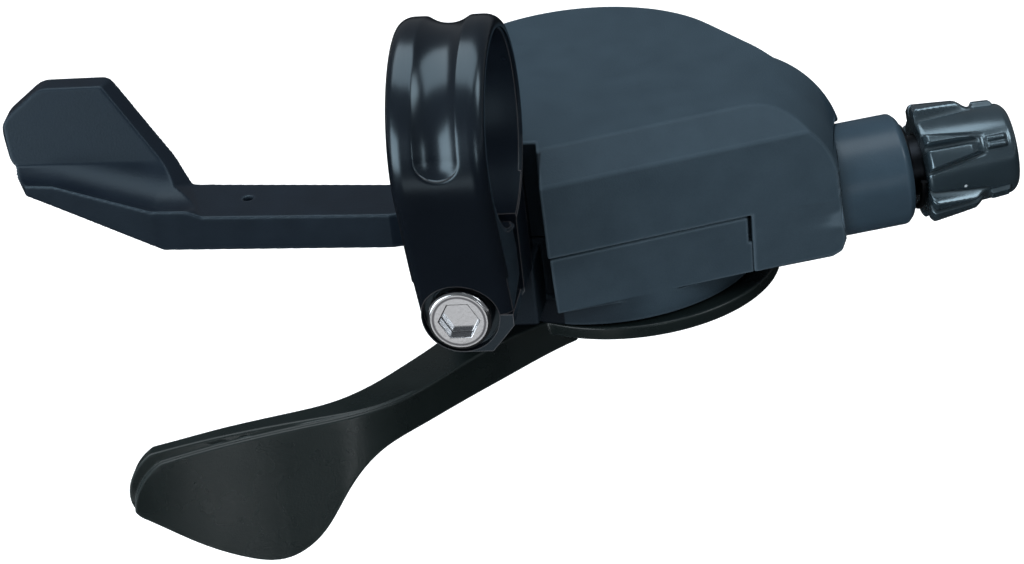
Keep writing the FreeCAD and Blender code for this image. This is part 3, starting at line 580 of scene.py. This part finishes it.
def ribbed_knob(finish):
    """Barrel with double ribs that taper outwards, and a small tab beyond each rib."""
    form = Form("ribbed knob", "Length", "Bore", "Ribs", "First Rib")
    size = form.sizes
    length = size["Length"]
    grid, across, along = form.sheet(321, 131)
    turn = across * (2 * math.pi)
    # The sheet runs over the near face, the wall and the far face, then back through the bore.
    near_face, wall, far_face, bore_wall = 0.06, 0.8, 0.06, 0.08
    up = ((along - near_face) / wall).clamp()
    back = ((along - (1 - bore_wall)) / bore_wall).clamp()
    z = up * length
    barrel_radius, start_round, end_round = 5.7, 0.6, 0.9
    start = (1 - z / start_round).clamp()
    end = (1 - (length - z) / end_round).clamp()
    barrel = barrel_radius - 0.25 * up - 0.3 * up ** 4 - 0.3 * start ** 2 - 0.55 * end ** 2
    step = 2 * math.pi / size["Ribs"]
    phase = ((turn - size["First Rib"]) / step + 0.5).fraction() - 0.5
    side = phase * step * barrel
    rib_half, rib_height, rib_end = 2.1, 1.35, 7.0
    groove_half, groove_offset = 0.3, 0.45
    tab_half, tab_start, tab_end, notch_half = 0.8, 7.1, 9.9, 0.18
    half = rib_half - 0.16 * z
    rib = ((half - abs(side)) / 0.55 + 0.3).ease()
    rise = (rib_height - 0.07 * z - 0.35 * start ** 2) * ((rib_end - z) / 1.8).ease()
    groove = ((groove_half - abs(side + groove_offset)) / groove_half + 0.4).ease()
    groove = groove * ((rib_end - 0.4 - z) / 0.5).ease()
    tab = ((tab_half - abs(side)) / 0.25).ease()
    tab = tab * ((z - tab_start) / 0.4).ease() * ((tab_end - z) / 0.5).ease()
    notch = ((notch_half - abs(side)) / 0.2 + 0.4).ease()
    foot = ((half + 0.3 - abs(side)) / 0.6 + 0.3).ease()
    channel = 4 * foot * (1 - foot) * ((rib_end + 0.4 - z) / 0.8).ease()
    outer = barrel + rise * rib * (1 - 0.75 * groove) + 0.5 * tab * (1 - 0.5 * notch) - 0.2 * channel
    bore = size["Bore"]
    face = (along / near_face).clamp() * ((1 - bore_wall - along) / far_face).clamp()
    radius = bore + (outer - bore) * face
    # Marks where the finish paints shade: the channel round each rib, the rib's groove and the tab's
    # edge.
    crevice = (channel + groove * rib * 0.9 + 3 * tab * (1 - tab)).clamp()
    marked = form.mark(grid, CREVICE, crevice * face)
    shape = form.bend(marked, radius * turn.cosine(), radius * turn.sine(), z * (1 - back))
    form.close(shape, finish)
    sizes = {"Length": KNOB_END - KNOB_START, "Bore": KNOB_BORE, "Ribs": KNOB_RIBS}
    sizes["First_Rib"] = math.radians(KNOB_TURN)
    knob = form.piece("ribbed_knob", on_cable_line(KNOB_START), **sizes)
    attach(knob, body_of("adjuster_knob"))
    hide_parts("adjuster_knob")


def soft_limit(value, width):
    """The value where it is above zero and zero below, with a rounded corner."""
    return (value + math.sqrt(value * value + width * width)) / 2


def groove_depth(x, angle):
    """Depth of the hollow groove at a point of the band's face, its near end round."""
    past = max(0, angle - math.radians(GROOVE_END)) * BAND_RADIUS
    reach = math.hypot(x, past) / GROOVE_HALF
    return GROOVE_DEPTH * soft_limit(1 - reach ** 2.2, 0.12)


def band_section():
    """(x, drop) points round the band's section, from its left side over the face and back inside."""
    half = BAND_WIDTH / 2 + BAND_SIDE_SKIN
    flat = half - EDGE_ROLL
    curve = [math.radians(90 - 9 * k) for k in range(10)]
    left = [(-half, depth) for depth in BAND_SIDE_DEPTHS]
    left += [(-flat - EDGE_ROLL * math.sin(a), EDGE_DROP * (1 - math.cos(a))) for a in curve]
    face = [(-flat + 2 * flat * k / 60, 0.0) for k in range(61)]
    return left + face + [(-x, drop) for x, drop in reversed(left)]


def band_shell(finish):
    """The band's outer face: rolled edges, the groove over its top, a straight run down to the bolt."""
    reach = math.hypot(LUG_RIM, BOLT_Z)
    touch = math.atan2(BOLT_Z, LUG_RIM) + 2 * math.pi - math.acos(BAND_RADIUS / reach)
    rows = [(touch, STRAIGHT_STEP * k) for k in range(round(STRAIGHT_RUN / STRAIGHT_STEP), 0, -1)]
    rows += [(touch - math.radians(k), 0.0) for k in range(BAND_WRAP + 1)]
    section = band_section()
    count = len(section)
    points = []
    for angle, run in rows:
        for x, drop in section:
            depth = groove_depth(x, angle) if drop == 0 else drop
            radius = BAND_RADIUS + BAND_SKIN - depth
            y = radius * math.cos(angle) - run * math.sin(angle)
            z = radius * math.sin(angle) + run * math.cos(angle)
            points.append(Vector((x, y, z)) * MM)
    faces = [tuple(range(count)), tuple(range(len(points) - 1, len(points) - 1 - count, -1))]
    for row in range(len(rows) - 1):
        for k in range(count):
            ahead = (k + 1) % count
            low = row * count
            faces.append((low + k, low + count + k, low + count + ahead, low + ahead))
    mesh = bpy.data.meshes.new("band_shell")
    mesh.from_pydata(points, [], faces)
    mesh.shade_smooth()
    mesh.set_sharp_from_angle(angle=math.radians(SHELL_CREASE_ANGLE))
    mesh.materials.append(finish)
    shell = bpy.data.objects.new("band_shell", mesh)
    bpy.context.collection.objects.link(shell)
    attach(shell, body_of("clamp_band"))


def lamp(name, place, size, power, colour, mirrored=True):
    """A soft panel that faces the part. One that isn't mirrored doesn't show in the part's gloss."""
    light = bpy.data.lights.new(name, "AREA")
    light.shape = "RECTANGLE"
    light.size, light.size_y = size
    light.energy = power
    light.color = colour
    holder = bpy.data.objects.new(name, light)
    holder.location = place
    aim = Vector(PART_MIDDLE) - Vector(place)
    holder.rotation_euler = aim.to_track_quat("-Z", "Y").to_euler()
    holder.visible_glossy = mirrored
    bpy.context.collection.objects.link(holder)


def studio_light():
    """The lamps: place and size in metres, power in watts."""
    lamp("overhead softbox", (-0.08, 0.05, 0.50), (0.44, 0.68), 2.9, LAMP_BLUE)
    lamp("left softbox", (-0.50, -0.57, 0.03), (0.56, 0.46), 4.2, LAMP_BLUE)
    lamp("right softbox", (0.372, -0.73, 0.02), (0.08, 0.24), 0.36, LAMP_COOL)
    lamp("high front fill", (-0.10, -0.64, 0.72), (0.90, 0.50), 4.9, LAMP_COOL, mirrored=False)
    lamp("right fill", (0.66, -0.14, 0.60), (0.36, 0.36), 2.1, LAMP_COOL)
    lamp("small front card", (-0.060, -0.29, -0.15), (0.09, 0.06), 0.018, LAMP_WHITE)


def background_rays(graph):
    """Rays that see the plain white surroundings: camera, mirror and glass rays."""
    path = graph.node("ShaderNodeLightPath")
    seen = Value(graph, path.outputs["Is Camera Ray"])
    for ray in ("Is Glossy Ray", "Is Transmission Ray"):
        seen = seen + Value(graph, path.outputs[ray])
    return seen.clamp()


def dim_surroundings():
    """Weak, even light from all round."""
    world = bpy.data.worlds.new("surroundings")
    bpy.context.scene.world = world
    world.use_nodes = True
    sky = world.node_tree.nodes["Background"]
    sky.inputs["Color"].default_value = SURROUNDINGS_TINT
    sky.inputs["Strength"].default_value = SURROUNDINGS_LIGHT


def level_sheet(name, left, right, front, back, height):
    """A flat piece of the stage."""
    mesh = bpy.data.meshes.new(name)
    corners = [(left, front, height), (right, front, height), (right, back, height), (left, back, height)]
    mesh.from_pydata(corners, [], [(0, 1, 2, 3)])
    sheet = bpy.data.objects.new(name, mesh)
    bpy.context.collection.objects.link(sheet)
    return sheet


def pale_floor():
    """White floor; rays that see the background get it evenly white, and it keeps the shadow."""
    height = cad_box[0][2] - FLOOR_DROP
    floor = level_sheet("floor", -FLOOR_REACH, FLOOR_REACH, -FLOOR_REACH, FLOOR_REACH, height)
    paint = Finish("pale floor", Base_Color=(0.8, 0.8, 0.8, 1), Roughness=0.9, Specular_IOR_Level=0.0)
    glow = paint.node("ShaderNodeEmission")
    both = paint.node("ShaderNodeAddShader", {}, {0: paint.shader.outputs[0], 1: glow.outputs[0]})
    x, y = paint.parts(paint.place)[:2]
    lit = FLOOR_LIT_SHARE / (1 + (x * x + y * y) / FLOOR_LIT_RADIUS ** 2) ** 2
    mix = paint.node("ShaderNodeMixShader", {}, {
        0: background_rays(paint) * (1 - lit), 1: paint.shader.outputs[0], 2: both.outputs[0],
    })
    paint.feed(paint.tree.nodes["Material Output"].inputs["Surface"], mix.outputs[0])
    floor.data.materials.append(paint.material)


def dark_flag():
    """Black card under the part, out of the camera's sight, that keeps the glossy blacks dark."""
    height = cad_box[0][2] - FLOOR_DROP + FLAG_RISE
    flag = level_sheet("dark flag", -FLAG_REACH, FLAG_REACH, -FLOOR_REACH, FLOOR_REACH, height)
    card = Finish("dark card", Base_Color=(0.02, 0.02, 0.02, 1), Roughness=0.9, Specular_IOR_Level=0.0)
    flag.data.materials.append(card.material)
    flag.visible_camera = False
    flag.visible_shadow = False
    flag.visible_diffuse = False


def photo_camera():
    """The photo's view: the bar's axis falls on its pixel, at the photo's scale."""
    azimuth, elevation, roll = (math.radians(a) for a in (VIEW_AZIMUTH, VIEW_ELEVATION, VIEW_ROLL))
    back = Vector((
        math.sin(azimuth) * math.cos(elevation),
        -math.cos(azimuth) * math.cos(elevation),
        math.sin(elevation),
    ))
    level = Vector((math.cos(azimuth), math.sin(azimuth), 0))
    above = back.cross(level)
    right = level * math.cos(roll) - above * math.sin(roll)
    up = level * math.sin(roll) + above * math.cos(roll)
    focal = PIXELS_PER_METRE * VIEW_DISTANCE
    across = IMAGE_SIZE[0] / 2 - BAR_PIXEL[0]
    down = IMAGE_SIZE[1] / 2 - BAR_PIXEL[1]
    aim = (back * focal - right * across + up * down).normalized()
    side = (right - aim * right.dot(aim)).normalized()
    top = aim.cross(side)
    data = bpy.data.cameras.new("photo camera")
    data.sensor_width = SENSOR_WIDTH
    data.lens = SENSOR_WIDTH * focal / IMAGE_SIZE[0]
    data.clip_start = 0.05
    data.clip_end = 40
    camera = bpy.data.objects.new("photo camera", data)
    turn = Matrix((side, top, aim)).transposed()
    camera.matrix_world = Matrix.Translation(back * VIEW_DISTANCE) @ turn.to_4x4()
    bpy.context.collection.objects.link(camera)
    bpy.context.scene.camera = camera


finishes = slot_finishes()
dress_nodes(finishes)
soften("base_housing", 0.25)
soften("top_cover", 0.3)
round_over("release_trigger", 0.12, 16)
soften("thumb_lever", 0.25)
soften("clamp_band", 0.15, clamp=True)
soften("clamp_bolt", 0.12, clamp=True)
band_shell(band_gloss("band face black", 0.0))
coil_springs(finishes["spring_steel"])
ribbed_knob(finishes["knob_black"])
dim_surroundings()
pale_floor()
dark_flag()
studio_light()
photo_camera()
bpy.context.scene.view_settings.view_transform = "Standard"
